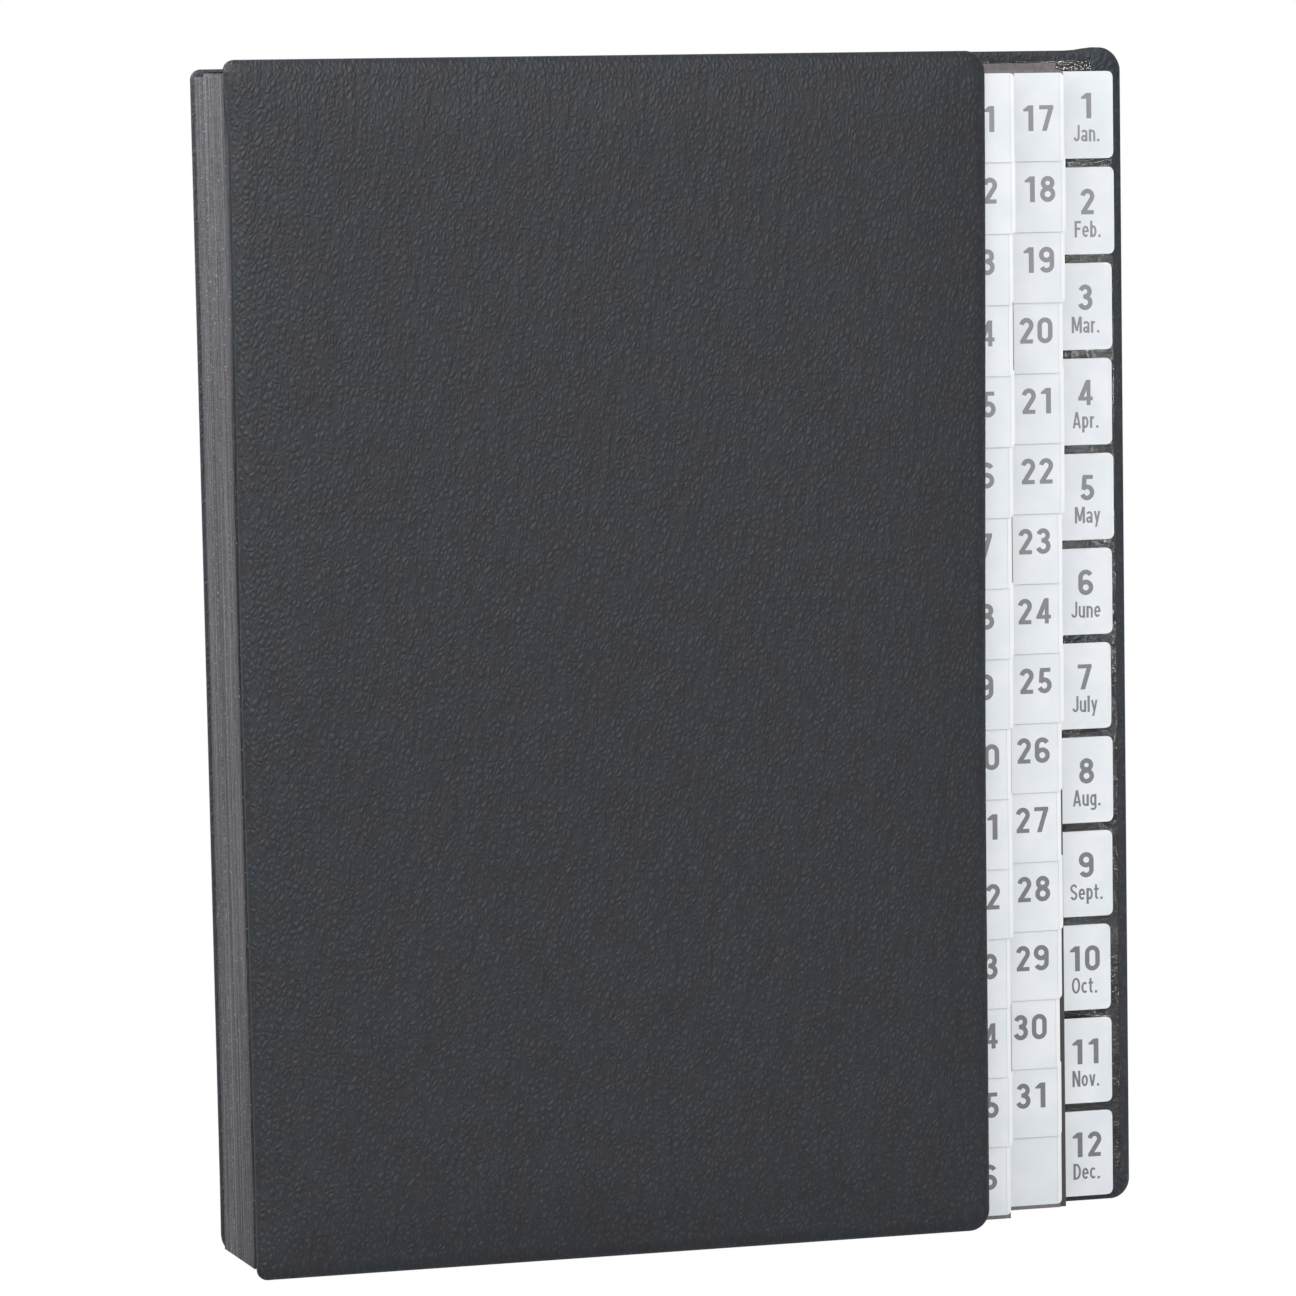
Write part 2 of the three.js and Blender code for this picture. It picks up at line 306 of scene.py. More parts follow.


# Dark grey linen: two sets of threads, streaks down the pleats, a few pale specks, two lines of
# painted shade in the gaps where the pleats stand a little open, and two rows of pale thread
def linen_material():
    nodes = Nodes("spine_linen")
    place = nodes.place((1000, 1000, 1000))
    warp_threads = nodes.noise(nodes.place((1800, 1800, 180)), 1.0, 2)
    weft_threads = nodes.noise(nodes.place((260, 260, 2600)), 1.0, 2)
    streaks = nodes.noise(nodes.place((300, 1150, 7)), 1.0, 2, 0.6)
    specks = nodes.noise(place, 1.5, 2)
    height = nodes.math("ADD", warp_threads.outputs["Fac"], weft_threads.outputs["Fac"])
    tone = nodes.remap(height, 0.7, 1.3)
    color = nodes.mix(tone, linear(41, 40, 44), linear(76, 75, 80))
    streak = nodes.remap(streaks.outputs["Fac"], 0.5, 0.66, 0.0, 0.7)
    color = nodes.mix(streak, color, linear(103, 102, 107))
    shade = nodes.remap(streaks.outputs["Fac"], 0.34, 0.48, 0.6, 0.0)
    color = nodes.mix(shade, color, linear(44, 43, 47))
    speck = nodes.remap(specks.outputs["Fac"], 0.66, 0.72, 0.0, 0.7)
    color = nodes.mix(speck, color, linear(170, 167, 164))
    parts = nodes.add("ShaderNodeSeparateXYZ")
    nodes.link(place, parts.inputs["Vector"])
    # Painted shade along the two gaps where the pleats stand open
    for depth, lean, low, high in ((-1.6, 0.029, 0.3, 0.9), (-14.8, 0.0, 0.4, 1.0)):
        line = nodes.math("ADD", nodes.math("MULTIPLY", parts.outputs["Z"], lean), depth)
        away = nodes.math("ABSOLUTE", nodes.math("SUBTRACT", parts.outputs["Y"], line), 0)
        color = nodes.mix(nodes.remap(away, low, high, 0.75, 0.0), color, linear(38, 37, 40))
    dots = nodes.remap(nodes.noise(nodes.place((300, 300, 1000)), 1.1, 1).outputs["Fac"], 0.5, 0.6)
    for depth in (-2.8, 6.3):
        away = nodes.math("ABSOLUTE", nodes.math("SUBTRACT", parts.outputs["Y"], depth), 0)
        thread = nodes.math("MULTIPLY", nodes.remap(away, 0.1, 0.3, 0.7, 0.0), dots)
        color = nodes.mix(thread, color, linear(158, 155, 156))
    nodes.surface(color, 0.85, 0.25, 0.2)
    nodes.bump(height, 0.08 * MM, 0.7)
    return nodes.material


# Grey-brown card with a slight mottle. On the first month's leaf the sliver that shows beside the day
# tabs is darkened with painted shade, below the leaf's own tab.
def card_material(name, paints_sliver_shade):
    nodes = Nodes(name)
    place = nodes.place((1000, 1000, 1000))
    mottle = nodes.noise(place, 0.7, 4, 0.65)
    fibres = nodes.noise(nodes.place((1000, 1000, 260)), 1.6, 3)
    tone = nodes.math("ADD", nodes.math("MULTIPLY", mottle.outputs["Fac"], 0.6),
                      nodes.math("MULTIPLY", fibres.outputs["Fac"], 0.4))
    color = nodes.mix(nodes.remap(tone, 0.35, 0.65), linear(108, 102, 104), linear(131, 125, 127))
    if paints_sliver_shade:
        parts = nodes.add("ShaderNodeSeparateXYZ")
        nodes.link(place, parts.inputs["Vector"])
        inside = nodes.remap(parts.outputs["X"], *CARD_SLIVER, 0.0, 1.0)
        below = nodes.remap(parts.outputs["Z"], *CARD_SLIVER_TOP, 0.8, 0.0)
        # Painted shade over the sliver of card beside the day tabs
        color = nodes.mix(nodes.math("MULTIPLY", inside, below), color, linear(48, 44, 46))
    nodes.surface(color, 0.7, 0.35)
    nodes.bump(tone, 0.03 * MM, 0.4)
    return nodes.material


# White paper under a clear film: nearly smooth, with a faint cloud in its tone
def tab_material(name, low, high):
    nodes = Nodes(name)
    place = nodes.place((1000, 1000, 1000))
    cloud = nodes.noise(place, 0.09, 2)
    ripple = nodes.noise(nodes.place((1000, 1000, 300)), 0.25, 1)
    color = nodes.mix(nodes.remap(cloud.outputs["Fac"], 0.35, 0.65), low, high)
    nodes.surface(color, 0.5, 0.2)
    nodes.bump(ripple.outputs["Fac"], 0.12 * MM, 0.2)
    return nodes.material


# Grey printing ink, a little mottled, and painted paler towards the top as a haze of glare off the
# film
def ink_material():
    nodes = Nodes("tab_ink")
    place = nodes.place((1000, 1000, 1000))
    grain = nodes.noise(place, 2.5, 3)
    parts = nodes.add("ShaderNodeSeparateXYZ")
    nodes.link(place, parts.inputs["Vector"])
    # Painted glare: the ink turns paler towards the top
    strength = nodes.mix(nodes.remap(parts.outputs["Z"], 60, 300), linear(116, 116, 122),
                         linear(144, 144, 150))
    color = nodes.mix(nodes.remap(grain.outputs["Fac"], 0.35, 0.65, 0.0, 0.3), strength,
                      linear(156, 156, 161))
    nodes.surface(color, 0.4, 0.4)
    return nodes.material


leatherette = leatherette_material("leatherette", linear(14, 15, 18), linear(45, 48, 53))
# The back cover takes the same leatherette painted lighter: painted light on its top band and margins
back_leatherette_painted_lighter = leatherette_material("back_leatherette_painted_lighter", linear(30, 34, 38), linear(62, 67, 73))
lining = lining_material()
linen = linen_material()
card = card_material("divider_card", False)
sliver_shade_card = card_material("sliver_shade_card", True)
tab_white = tab_material("tab_paper", linear(237, 242, 246), linear(244, 247, 251))
tab_edge = tab_material("tab_margin", linear(247, 249, 251), linear(251, 252, 254))
tab_line = tab_material("tab_fold_line", linear(204, 210, 217), linear(212, 217, 223))
ink = ink_material()


def dress(obj, *materials):
    obj.data.materials.clear()
    for material in materials:
        obj.data.materials.append(material)


def new_object(name, mesh):
    obj = bpy.data.objects.new(name, mesh)
    bpy.context.scene.collection.objects.link(obj)
    return obj


def smoothstep(low, high, value):
    share = min(max((value - low) / (high - low), 0.0), 1.0)
    return share * share * (3 - 2 * share)


# One ring of a cover: a rounded rectangle drawn in by inset, with as many points on each
# side and corner at every inset, so that rings can be joined by plain quads
def cover_ring(low, high, inset, heel):
    half = min(high.x - low.x, high.z - low.z) / 2
    room = half - inset
    counts = side_counts(low, high)
    radii = []
    for radius in (COVER_FORE_RADIUS, COVER_FORE_RADIUS, COVER_SPINE_RADIUS, heel):
        radii.append(max(min(radius + inset * CORNER_SOFTENING, room), 0.0))
    left, right = low.x + inset, high.x - inset
    foot, top = low.z + inset, high.z - inset
    centres = (
        (right - radii[0], foot + radii[0]),
        (right - radii[1], top - radii[1]),
        (left + radii[2], top - radii[2]),
        (left + radii[3], foot + radii[3]),
    )
    points = []
    for corner in range(4):
        cx, cz = centres[corner]
        for step in range(CORNER_STEPS + 1):
            angle = (corner - 1 + step / CORNER_STEPS) * math.pi / 2
            across = radii[corner] * math.cos(angle)
            upward = radii[corner] * math.sin(angle)
            points.append((cx + across, cz + upward))
        ahead = (corner + 1) % 4
        nx, nz = centres[ahead]
        start = points[-1]
        angle = (ahead - 1) * math.pi / 2
        end = (nx + radii[ahead] * math.cos(angle), nz + radii[ahead] * math.sin(angle))
        for step in range(1, counts[corner % 2]):
            share = step / counts[corner % 2]
            across = (end[0] - start[0]) * share
            upward = (end[1] - start[1]) * share
            points.append((start[0] + across, start[1] + upward))
    return points


# How many steps a cover's skin takes along an upright side and along a level one
def side_counts(low, high):
    return (round((high.z - low.z) / SIDE_STEP), round((high.x - low.x) / SIDE_STEP))


# How far the spine and the back cover's edge beside it lean outwards at a height
def spine_lean(z):
    return SPINE_LEAN * min(max((z - LEAN_START) / (COVER_TOP - LEAN_START), 0.0), 1.0)


# How far the padded skin stands from the inner face at a given inset from the edge: a quick
# roll at the edge, then a long slow rise to the crown
def skin_depth(inset, thickness):
    crown = CROWN_SHARE * thickness
    rise = thickness - SKIN_FLAT - crown
    if inset < SKIN_ROLL:
        share = 1 - inset / SKIN_ROLL
        return SKIN_FLAT + rise * math.sqrt(max(1 - share * share, 0.0))
    share = min((inset - SKIN_ROLL) / (CROWN_REACH - SKIN_ROLL), 1.0)
    return thickness - crown + crown * math.sin(share * math.pi / 2)


# Folds of the turned-in sheet, gathered round the corner of the fore edge
def corner_folds(x, z, low, high):
    lift = 0.0
    for cz, side in ((low.z, 1), (high.z, -1)):
        dx = high.x - COVER_FORE_RADIUS - x
        dz = (z - cz) * side - COVER_FORE_RADIUS
        away = math.hypot(x - high.x, z - cz)
        if away > FOLD_REACH:
            continue
        crease = abs(math.sin(FOLDS_PER_RADIAN * math.atan2(dz, dx))) ** 0.5
        lift += FOLD_HEIGHT * crease * (1 - smoothstep(0.5, 1.0, away / FOLD_REACH))
    return lift


# Rings of a cover's skin from its inner face over the edge to the crown, each as its points
# in x and z and their depths from the inner face
def skin_rings(low, high, heel, outward):
    rings = []
    for inset in INNER_INSETS:
        ring = cover_ring(low, high, inset * MM, heel)
        edge = INNER_ROLL * (1 - smoothstep(0.0, 1.1, inset))
        fold_share = smoothstep(0.3, 1.2, inset)
        rings.append((ring, [edge - corner_folds(x, z, low, high) * fold_share for x, z in ring]))
    edge_ring = cover_ring(low, high, 0.0, heel)
    rings.append((edge_ring, [EDGE_DEPTH] * len(edge_ring)))
    half = min(high.x - low.x, high.z - low.z) / 2
    outer_insets = list(OUTER_INSETS)
    while outer_insets[-1] * MM < half - (INSET_STEP + 1) * MM:
        outer_insets.append(outer_insets[-1] + INSET_STEP)
    outer_insets[-1] = half / MM
    for inset in outer_insets:
        ring = cover_ring(low, high, inset * MM, heel)
        depth = skin_depth(inset * MM, high.y - low.y)
        fade = smoothstep(3.0, 20.0, inset)
        depths = []
        for x, z in ring:
            broad = noise.noise(Vector((x, outward * 3.0, z)) / BROAD_WAVE)
            small = noise.noise(Vector((x, outward * 5.0, z)) / SMALL_WAVE)
            depths.append(depth + fade * (BROAD_SWAY * (broad - 1) + SMALL_SWAY * small))
        rings.append((ring, depths))
    return rings


# How far a point of the front cover's skin moves to the left: the lip beside the spine flares
# out at the top, the left foot is tucked in, and the right edge spreads from foot to top
def front_shift(x, z, depth, low, high):
    rise = (z - low.z) / (high.z - low.z)
    near_spine = 1 - smoothstep(0.0, 9 * MM, x - low.x)
    near_top = smoothstep(high.z - 26 * MM, high.z - 3 * MM, z)
    left_share = 1 - smoothstep(0, 40 * MM, x - low.x)
    right_share = smoothstep(high.x - 40 * MM, high.x, x)
    shift = LIP_FLARE * near_spine * near_top * smoothstep(0.0, 1.5 * MM, depth)
    shift -= LEFT_FOOT_TUCK * left_share * (1 - smoothstep(0.0, 0.6, rise))
    shift -= RIGHT_TOP_SPREAD * right_share * smoothstep(0.3, 1.0, rise)
    shift += RIGHT_FOOT_TUCK * right_share * (1 - rise)
    return shift


# How far the back cover's top edge sags beside the spine, and bulges up at the fore corner
def back_sag(x, z, low, high):
    near_spine = 1 - smoothstep(6 * MM, 60 * MM, x - low.x)
    bulge = 1 - smoothstep(0, 9 * MM, abs(x - high.x + 8 * MM))
    sag = BACK_TOP_SAG * near_spine * smoothstep(high.z - 40 * MM, high.z, z)
    return sag - BACK_CORNER_BULGE * bulge * smoothstep(high.z - 5 * MM, high.z - 1 * MM, z)


# A padded cover as one closed skin. outward is -1 for the front cover and 1 for the back.
def padded_cover(name, node, body, outward):
    low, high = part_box(node)
    inner = high.y if outward < 0 else low.y
    heel = COVER_SPINE_RADIUS if outward < 0 else BACK_HEEL_RADIUS
    rings = skin_rings(low, high, heel, outward)
    count = len(rings[0][0])
    points = []
    for ring, depths in rings:
        for (x, z), depth in zip(ring, depths):
            if outward < 0:
                shift = front_shift(x, z, depth, low, high)
                sag = 0.0
            else:
                shift = spine_lean(z) * (1 - smoothstep(4 * MM, 40 * MM, x - low.x))
                sag = back_sag(x, z, low, high)
            points.append((x - shift, inner + outward * depth, z - sag))
    faces = []
    for level in range(len(rings) - 1):
        for at in range(count):
            after = (at + 1) % count
            a, b = level * count + at, level * count + after
            faces.append((a, b, b + count, a + count))
    faces.append(tuple(reversed(range(count))))
    mesh = bpy.data.meshes.new(name)
    mesh.from_pydata(points, [], faces)
    work = bmesh.new()
    work.from_mesh(mesh)
    bmesh.ops.remove_doubles(work, verts=work.verts, dist=MERGE_DISTANCE)
    bmesh.ops.dissolve_degenerate(work, edges=work.edges, dist=MERGE_DISTANCE)
    bmesh.ops.recalc_face_normals(work, faces=work.faces)
    for face in work.faces:
        face.smooth = True
    work.to_mesh(mesh)
    work.free()
    cover = new_object(name, mesh)
    dress(cover, leatherette if outward < 0 else back_leatherette_painted_lighter)
    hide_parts(node)
    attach(cover, body)


# A closed upright plate from an outline in x and z
def plate(name, outline, front, back):
    mesh = bpy.data.meshes.new(name)
    work = bmesh.new()
    near = [work.verts.new((x, front, z)) for x, z in outline]
    far = [work.verts.new((x, back, z)) for x, z in outline]
    count = len(outline)
    work.faces.new(near)
    work.faces.new(list(reversed(far)))
    for at in range(count):
        after = (at + 1) % count
        work.faces.new((near[at], far[at], far[after], near[after]))
    bmesh.ops.recalc_face_normals(work, faces=work.faces)
    work.to_mesh(mesh)
    work.free()
    return mesh


# An outline with some of its corners rounded, from each corner's x, z and radius
def rounded_outline(corners, steps=5):
    outline = []
    count = len(corners)
    for at, (x, z, radius) in enumerate(corners):
        if not radius:
            outline.append((x, z))
            continue
        corner = Vector((x, z))
        before = Vector(corners[at - 1][:2])
        after = Vector(corners[(at + 1) % count][:2])
        start = corner + (before - corner).normalized() * radius
        end = corner + (after - corner).normalized() * radius
        for step in range(steps + 1):
            share = step / steps
            point = start.lerp(corner, share).lerp(corner.lerp(end, share), share)
            outline.append((point.x, point.y))
    return outline


# Cuts a day tab's film into paper, fold line and clear margin along its fore edge, once the
# film has its materials
def split_margin(mesh, right):
    work = bmesh.new()
    work.from_mesh(mesh)
    for x in (right - TAB_MARGIN, right - TAB_MARGIN - TAB_LINE):
        geometry = list(work.verts) + list(work.edges) + list(work.faces)
        bmesh.ops.bisect_plane(work, geom=geometry, plane_co=(x, 0, 0), plane_no=(1, 0, 0))
    for face in work.faces:
        middle = face.calc_center_median().x
        if middle > right - TAB_MARGIN:
            face.material_index = 1
        elif middle > right - TAB_MARGIN - TAB_LINE:
            face.material_index = 2
    work.to_mesh(mesh)
    work.free()


# The fore edge of a leaf's tab and its lowest and highest point there
def tab_reach(node, radius):
    low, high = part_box(node)
    heights = [v.co.z for v in NODES[node].data.vertices if v.co.x > high.x - 0.02 * MM]
    return high.x, min(heights) - radius, max(heights) + radius


# The white film over a leaf's tab, with the depth of its front
def tab_label(leaf, node, corners):
    low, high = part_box(node)
    mesh = plate("tab_film_" + leaf, rounded_outline(corners), low.y - TAB_FILM, high.y + TAB_FILM)
    label = new_object("tab_film_" + leaf, mesh)
    dress(label, tab_white, tab_edge, tab_line)
    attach(label, "block")
    return label, low.y - TAB_FILM


# Points along an ellipse, from one angle in degrees to another
def arc(cx, cz, rx, rz, start, end, steps=12):
    points = []
    for step in range(steps + 1):
        angle = math.radians(start + (end - start) * step / steps)
        points.append((cx + rx * math.cos(angle), cz + rz * math.sin(angle)))
    return points


def bar(left, foot, right, top):
    return ("fill", [(left, foot), (right, foot), (right, top), (left, top)])


def pen(*points):
    return ("pen", list(points))


# A stroke whose two ends are cut level
def slant(*points):
    return ("slant", list(points))


def hoop(cx, cz, rx, rz):
    return ("pen", arc(cx, cz, rx, rz, 0, 360, 24))


# Plain upright figures and letters of even stroke, one unit high: width, then the strokes
GLYPHS = {
    "0": (0.6, [pen(*arc(0.3, 0.7, 0.215, 0.215, 0, 180), *arc(0.3, 0.3, 0.215, 0.215, 180, 360),
                    (0.515, 0.7))]),
    "1": (0.5, [bar(0.25, 0, 0.45, 1),
                ("fill", [(0.04, 0.77), (0.26, 0.77), (0.26, 1.0), (0.24, 1.0), (0.04, 0.84)])]),
    "2": (0.56, [pen(*arc(0.28, 0.71, 0.195, 0.205, 172, -38), (0.13, 0.12)),
                 bar(0.02, 0, 0.54, 0.16)]),
    "3": (0.57, [pen(*arc(0.275, 0.725, 0.185, 0.19, 165, -90)), bar(0.2, 0.45, 0.3, 0.61),
                 pen(*arc(0.275, 0.3, 0.21, 0.215, 90, -165))]),
    "4": (0.62, [slant((0.43, 0.98), (0.1, 0.24)), bar(0.02, 0.19, 0.61, 0.34),
                 bar(0.36, 0, 0.52, 1)]),
    "5": (0.57, [bar(0.1, 0.84, 0.52, 1), slant((0.175, 0.9), (0.14, 0.42)),
                 pen(*arc(0.275, 0.31, 0.21, 0.225, 142, -160))]),
    "6": (0.6, [hoop(0.3, 0.3, 0.215, 0.215),
                pen((0.085, 0.3), *arc(0.3, 0.7, 0.215, 0.215, 180, 25))]),
    "7": (0.6, [bar(0.02, 0.84, 0.59, 1), slant((0.49, 0.88), (0.22, 0))]),
    "8": (0.6, [hoop(0.3, 0.735, 0.185, 0.18), hoop(0.3, 0.3, 0.215, 0.215)]),
    "9": (0.6, [hoop(0.3, 0.7, 0.215, 0.215),
                pen((0.515, 0.7), *arc(0.3, 0.3, 0.215, 0.215, 0, -155))]),
    "A": (0.56, [slant((0.08, 0), (0.27, 1)), slant((0.48, 0), (0.29, 1)),
                 bar(0.13, 0.2, 0.43, 0.33)]),
    "D": (0.52, [bar(0.01, 0, 0.16, 1),
                 pen((0.08, 0.93), (0.2, 0.93), *arc(0.2, 0.5, 0.24, 0.43, 90, -90), (0.08, 0.07))]),
    "F": (0.44, [bar(0.01, 0, 0.16, 1), bar(0.08, 0.86, 0.43, 1), bar(0.08, 0.46, 0.39, 0.6)]),
    "J": (0.42, [pen((0.34, 1), (0.34, 0.28), *arc(0.205, 0.28, 0.135, 0.2, 0, -170))]),
    "M": (0.68, [bar(0.01, 0, 0.16, 1), bar(0.52, 0, 0.67, 1), slant((0.12, 1), (0.34, 0.12)),
                 slant((0.56, 1), (0.34, 0.12))]),
    "N": (0.54, [bar(0.01, 0, 0.16, 1), bar(0.38, 0, 0.53, 1), slant((0.11, 1), (0.43, 0))]),
    "O": (0.58, [hoop(0.29, 0.5, 0.21, 0.43)]),
    "S": (0.5, [pen(*arc(0.25, 0.73, 0.165, 0.2, 15, 250),
                    *arc(0.25, 0.27, 0.165, 0.2, 70, -165))]),
    "a": (0.45, [hoop(0.2, 0.2, 0.13, 0.13), pen(*arc(0.22, 0.52, 0.14, 0.13, 165, 0), (0.36, 0))]),
    "b": (0.45, [bar(0.01, 0, 0.16, 1), hoop(0.22, 0.36, 0.14, 0.29)]),
    "c": (0.42, [pen(*arc(0.22, 0.36, 0.15, 0.29, 45, 315))]),
    "e": (0.45, [pen(*arc(0.22, 0.36, 0.15, 0.29, 0, 318)), bar(0.1, 0.31, 0.43, 0.42)]),
    "g": (0.45, [hoop(0.21, 0.36, 0.14, 0.29),
                 pen((0.36, 0.72), (0.36, -0.06), *arc(0.21, -0.06, 0.15, 0.15, 0, -150))]),
    "l": (0.18, [bar(0.01, 0, 0.16, 1)]),
    "n": (0.45, [bar(0.01, 0, 0.16, 0.72),
                 pen((0.09, 0.45), *arc(0.22, 0.48, 0.14, 0.165, 180, 0), (0.36, 0))]),
    "o": (0.45, [hoop(0.22, 0.36, 0.145, 0.29)]),
    "p": (0.45, [bar(0.01, -0.26, 0.16, 0.72), hoop(0.22, 0.36, 0.14, 0.29)]),
    "r": (0.32, [bar(0.01, 0, 0.16, 0.72), pen(*arc(0.25, 0.46, 0.16, 0.18, 180, 80))]),
    "t": (0.32, [pen((0.13, 0.92), (0.13, 0.2), *arc(0.25, 0.2, 0.12, 0.13, 180, 275)),
                 bar(0, 0.58, 0.3, 0.7)]),
    "u": (0.45, [pen((0.08, 0.72), *arc(0.22, 0.235, 0.14, 0.165, 180, 360), (0.36, 0.3)),
                 bar(0.285, 0, 0.435, 0.72)]),
    "v": (0.42, [slant((0.07, 0.72), (0.2, 0)), slant((0.35, 0.72), (0.22, 0))]),
    "y": (0.42, [slant((0.07, 0.72), (0.22, 0.05)), slant((0.36, 0.72), (0.14, -0.26))]),
    ".": (0.2, [bar(0.03, 0, 0.18, 0.15)]),
}
FIGURE_STROKE = 0.185
FIGURE_GAP = 0.17
FIGURE_STRETCH = 1.03
LETTER_STROKE = 0.13
LETTER_GAP = 0.06
STROKE_STEP = 0.004 * MM


# The two edges of a stroke of some thickness along its points
def stroke_edges(points, thickness, level_ends):
    left, right = [], []
    closed = math.dist(points[0], points[-1]) < 0.001
    count = len(points)
    for at, point in enumerate(points):
        before = points[at - 1] if at else (points[-2] if closed else point)
        after = points[at + 1] if at + 1 < count else (points[1] if closed else point)
        dx, dz = after[0] - before[0], after[1] - before[1]
        length = math.hypot(dx, dz) or 1.0
        side = (-dz / length * thickness / 2, dx / length * thickness / 2)
        if level_ends:
            side = (-thickness / 2 * length / dz, 0.0)
        left.append((point[0] + side[0], point[1] + side[1]))
        right.append((point[0] - side[0], point[1] - side[1]))
    return left, right


# The gap between signs, as a share of the width of one unit, and that width
def text_spacing(text, height):
    if text[0].isdigit():
        return FIGURE_GAP, height * FIGURE_STRETCH
    return LETTER_GAP, height


def text_width(text, height):
    gap, across = text_spacing(text, height)
    return (sum(GLYPHS[sign][0] for sign in text) + gap * (len(text) - 1)) * across


# A word or number as a flat mesh in an upright plane, centred on x, its foot at z
def lettering(text, x, y, z, height):
    thickness = FIGURE_STROKE if text[0].isdigit() else LETTER_STROKE
    gap, across = text_spacing(text, height)
    start = x - text_width(text, height) / 2
    points, faces = [], []

    def add(outline, lift):
        first = len(points)
        points.extend((start + u * across, y - lift, z + v * height) for u, v in outline)
        return first

    for sign in text:
        width, strokes = GLYPHS[sign]
        for order, (kind, line) in enumerate(strokes):
            lift = order * STROKE_STEP
            if kind == "fill":
                first = add(line, lift)
                faces.append(tuple(range(first, first + len(line))))
                continue
            left, right = stroke_edges(line, thickness, kind == "slant")
            first = add(left + right, lift)
            count = len(line)
            for at in range(count - 1):
                near, far = first + at, first + count + at
                faces.append((near, near + 1, far + 1, far))
        start += (width + gap) * across
    mesh = bpy.data.meshes.new("print")
    mesh.from_pydata(points, [], faces)
    return mesh


# All the print of one tab as one piece
def print_piece(leaf, meshes):
    work = bmesh.new()
    for mesh in meshes:
        work.from_mesh(mesh)
        bpy.data.meshes.remove(mesh)
    joined = bpy.data.meshes.new("tab_print_" + leaf)
    work.to_mesh(joined)
    work.free()
    piece = new_object("tab_print_" + leaf, joined)
    dress(piece, ink)
    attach(piece, "block")


# The film and number of a day's tab. The last leaf of a column has a square foot, its film
# starts a little above that, and the blank tab has no number.
def day_tab(index):
    blank = index == DAY_LEAVES - 1
    leaf = "blank" if blank else f"day_{index + 1:02d}"
    node = "divider_" + leaf
    row = index % DAYS_PER_COLUMN
    last = row == DAYS_PER_COLUMN - 1
    radius = 0.0 if last else DAY_TAB_RADIUS
    card_right, foot = tab_reach(node, radius)[:2]
    leaf_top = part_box(node)[1].z
    label_foot = foot + (LAST_TAB_LIFT if last else -TAB_FILM_EDGE)
    label_top = leaf_top - FIRST_TAB_DROP if row == 0 else foot + DAY_TAB_PITCH + TAB_OVERLAP
    right = card_right + (FILM_OVERHANG if index >= DAYS_PER_COLUMN else TAB_FILM_EDGE)
    left = right - TAB_WIDTH
    corners = [
        (left, label_foot, 0.0),
        (right, label_foot, DAY_TAB_RADIUS),
        (right, label_top, DAY_TAB_RADIUS if row == 0 else 0.0),
        (left, label_top, 0.0),
    ]
    label, front = tab_label(leaf, node, corners)
    split_margin(label.data, right)
    if blank:
        return
    centre = card_right - DAY_NUMBER_INSET - DAY_NUMBER_DRIFT * row
    z = label_foot + (LAST_NUMBER_RISE if last else DAY_NUMBER_RISE) - NUMBER_HEIGHT / 2
    print_piece(leaf, [lettering(str(index + 1), centre, front - PRINT_LIFT, z, NUMBER_HEIGHT)])


# The film, number and name of a month's tab
def month_tab(month):
    leaf = f"month_{month + 1:02d}"
    node = "divider_" + leaf
    right, foot, top = tab_reach(node, MONTH_TAB_RADIUS)
    right += TAB_FILM_EDGE
    foot -= TAB_FILM_EDGE
    top += TAB_FILM_EDGE
    left = right - TAB_WIDTH
    corners = [
        (left, foot, 0.0),
        (right, foot, MONTH_TAB_RADIUS),
        (right, top, MONTH_TAB_RADIUS),
        (left, top, 0.0),
    ]
    front = tab_label(leaf, node, corners)[1] - PRINT_LIFT
    centre = right - MONTH_PRINT_INSET
    number = lettering(str(month + 1), centre, front, top - MONTH_NUMBER_DROP, NUMBER_HEIGHT)
    word = lettering(MONTH_NAMES[month], centre, front, top - MONTH_WORD_DROP, WORD_HEIGHT)
    print_piece(leaf, [number, word])


# A strip of linen that joins a cover to the first pleat: one leg lies on the pleat, the other on the
# cover's lining, with a fold between them
def hinge_strip(name, lining_node, outward):
    spine_low, spine_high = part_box("spine")
    lining_low, lining_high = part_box(lining_node)
    pleat = spine_low.y if outward < 0 else spine_high.y
    sheet = lining_high.y if outward < 0 else lining_low.y
    near_pleat = pleat - (pleat - sheet) * STRIP_CLEARANCE
    near_sheet = sheet + (pleat - sheet) * STRIP_CLEARANCE
    fold = spine_low.x - STRIP_FOLD
    leg = [spine_low.x + reach for reach in STRIP_REACHES]
    turn = [(x, near_pleat) for x in leg]
    turn += [(fold, near_pleat + (near_sheet - near_pleat) * share) for share in (0.25, 0.75)]
    turn += [(x, near_sheet) for x in reversed(leg)]
    points = []
    for row in range(STRIP_ROWS + 1):
        z = spine_low.z + (spine_high.z - spine_low.z) * row / STRIP_ROWS
        points += [(x - spine_lean(z), y, z) for x, y in turn]
    faces = []
    for row in range(STRIP_ROWS):
        for at in range(len(turn) - 1):
            a = row * len(turn) + at
            faces.append((a, a + 1, a + 1 + len(turn), a + len(turn)))
    mesh = bpy.data.meshes.new(name)
    mesh.from_pydata(points, [], faces)
    strip = new_object(name, mesh)
    solid = strip.modifiers.new("thickness", "SOLIDIFY")
    solid.thickness = STRIP_THICKNESS
    solid.offset = 0
    bpy.context.view_layer.update()
    evaluated = strip.evaluated_get(bpy.context.evaluated_depsgraph_get())
    thick = bpy.data.meshes.new_from_object(evaluated)
    strip.modifiers.clear()
    strip.data = thick
    dress(strip, linen)
    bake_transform(strip)


